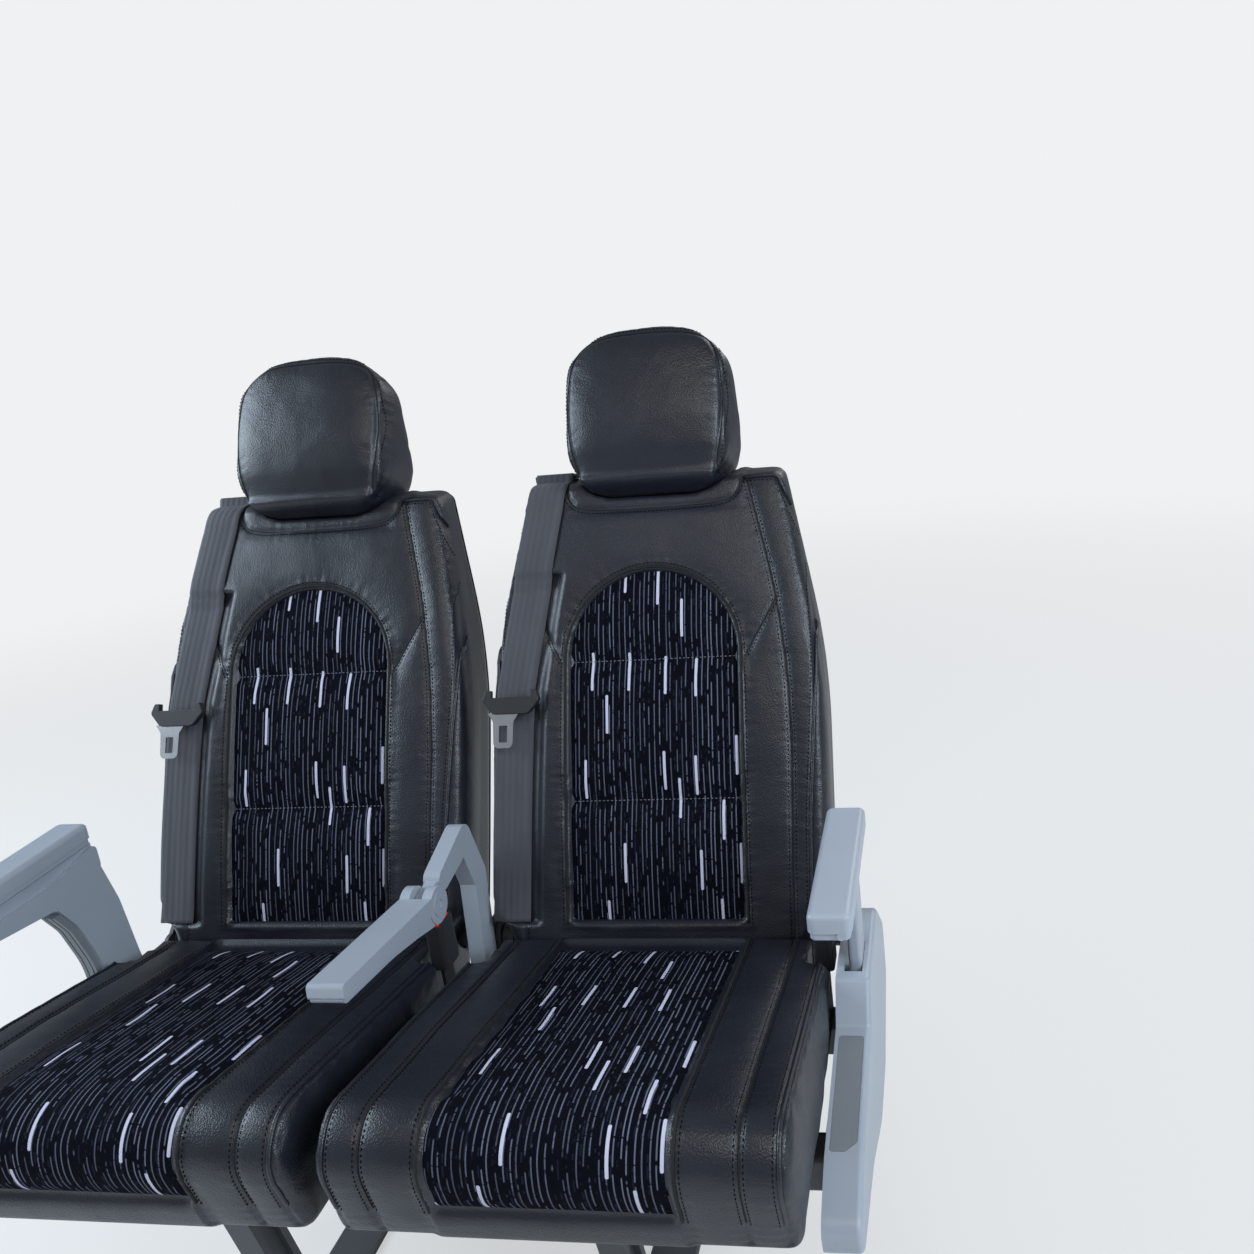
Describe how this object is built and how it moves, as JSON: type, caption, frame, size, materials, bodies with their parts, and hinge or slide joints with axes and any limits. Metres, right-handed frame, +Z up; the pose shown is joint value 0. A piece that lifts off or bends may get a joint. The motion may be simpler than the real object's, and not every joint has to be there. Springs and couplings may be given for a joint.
{
  "type": "double reclining coach seat",
  "caption": "Double passenger seat for a coach on floor legs, with reclining backs, headrests, a folding and a dropping armrest, and shoulder belts.",
  "frame": {"origin": "centre of the four floor bolts, on the floor", "axes": "+X towards the aisle side, +Y to the rear, +Z up"},
  "size_m": [0.998, 0.7432, 1.1292],
  "materials": {
    "leatherette": "fine-grained black leatherette with dark stitching",
    "stripe_fabric": "dark velour with thin broken stripes and pale dashes",
    "belt_webbing": "ribbed charcoal webbing",
    "net_fabric": "black elastic net",
    "grey_plastic": "moulded silver-grey, fine texture",
    "dark_grey_plastic": "moulded darker grey, fine texture",
    "black_plastic": "moulded black, fine texture",
    "red_plastic": "smooth red",
    "chrome": "polished",
    "bright_steel": "ground",
    "spring_paint": "black satin",
    "frame_paint": "dark grey powder coat"
  },
  "bodies": {
    "frame": {"leg_window": "frame_paint", "leg_aisle": "frame_paint", "crossbar_front": "frame_paint", "crossbar_rear": "frame_paint", "side_plate_window": "frame_paint", "side_plate_aisle": "frame_paint", "side_plate_centre": "frame_paint", "cushion_pan_window": "frame_paint", "cushion_pan_aisle": "frame_paint", "seat_cushion_window": "leatherette", "seat_cushion_aisle": "leatherette", "seat_insert_window": "stripe_fabric", "seat_insert_aisle": "stripe_fabric", "console_shell": "grey_plastic", "console_insert": "dark_grey_plastic", "window_armrest_pad": "grey_plastic", "window_armrest_shell": "grey_plastic", "window_armrest_bracket": "grey_plastic", "window_armrest_trim": "dark_grey_plastic", "centre_armrest_support": "grey_plastic", "buckle_body_window": "black_plastic", "buckle_body_aisle": "black_plastic", "buckle_button_window": "red_plastic", "buckle_button_aisle": "red_plastic", "gas_cylinder_window": "spring_paint", "gas_cylinder_aisle": "spring_paint"},
    "window_back": {"back_hinge_window": "frame_paint", "backrest_window": "leatherette", "back_insert_window": "stripe_fabric", "back_shell_window": "black_plastic", "magazine_rail_window": "bright_steel", "magazine_net_window": "net_fabric", "headrest_window": "leatherette", "belt_window": "belt_webbing", "belt_guide_window": "black_plastic", "tongue_grip_window": "black_plastic", "tongue_plate_window": "chrome"},
    "aisle_back": {"back_hinge_aisle": "frame_paint", "backrest_aisle": "leatherette", "back_insert_aisle": "stripe_fabric", "back_shell_aisle": "black_plastic", "magazine_rail_aisle": "bright_steel", "magazine_net_aisle": "net_fabric", "headrest_aisle": "leatherette", "belt_aisle": "belt_webbing", "belt_guide_aisle": "black_plastic", "tongue_grip_aisle": "black_plastic", "tongue_plate_aisle": "chrome"},
    "centre_arm": {"centre_armrest": "grey_plastic"},
    "aisle_arm": {"aisle_armrest_pad": "grey_plastic", "aisle_armrest_post": "grey_plastic", "aisle_armrest_rail": "bright_steel"},
    "window_rod": {"gas_rod_window": "bright_steel"},
    "aisle_rod": {"gas_rod_aisle": "bright_steel"}
  },
  "joints": [
    {"name": "window_back_recline", "type": "hinge", "parent": "frame", "child": "window_back", "pos_m": [0, 0.12103, 0.39051], "axis": [-1, 0, 0], "range_deg": [0, 20]},
    {"name": "aisle_back_recline", "type": "hinge", "parent": "frame", "child": "aisle_back", "pos_m": [0, 0.12103, 0.39051], "axis": [-1, 0, 0], "range_deg": [0, 20]},
    {"name": "window_rod_slide", "type": "slide", "parent": "frame", "child": "window_rod", "axis": [0, -1, 0], "range_m": [0, 0.0387]},
    {"name": "aisle_rod_slide", "type": "slide", "parent": "frame", "child": "aisle_rod", "axis": [0, -1, 0], "range_m": [0, 0.0387]},
    {"name": "centre_armrest_fold", "type": "hinge", "parent": "frame", "child": "centre_arm", "pos_m": [0, -0.046, 0.538], "axis": [-1, 0, 0], "range_deg": [0, 75]},
    {"name": "aisle_armrest_drop", "type": "slide", "parent": "frame", "child": "aisle_arm", "axis": [0, 0, -1], "range_m": [0, 0.12]}
  ],
  "couplings": [
    {"joint": "window_rod_slide", "follows": "window_back_recline", "m_per_rad": 0.10944},
    {"joint": "aisle_rod_slide", "follows": "aisle_back_recline", "m_per_rad": 0.10944}
  ]
}
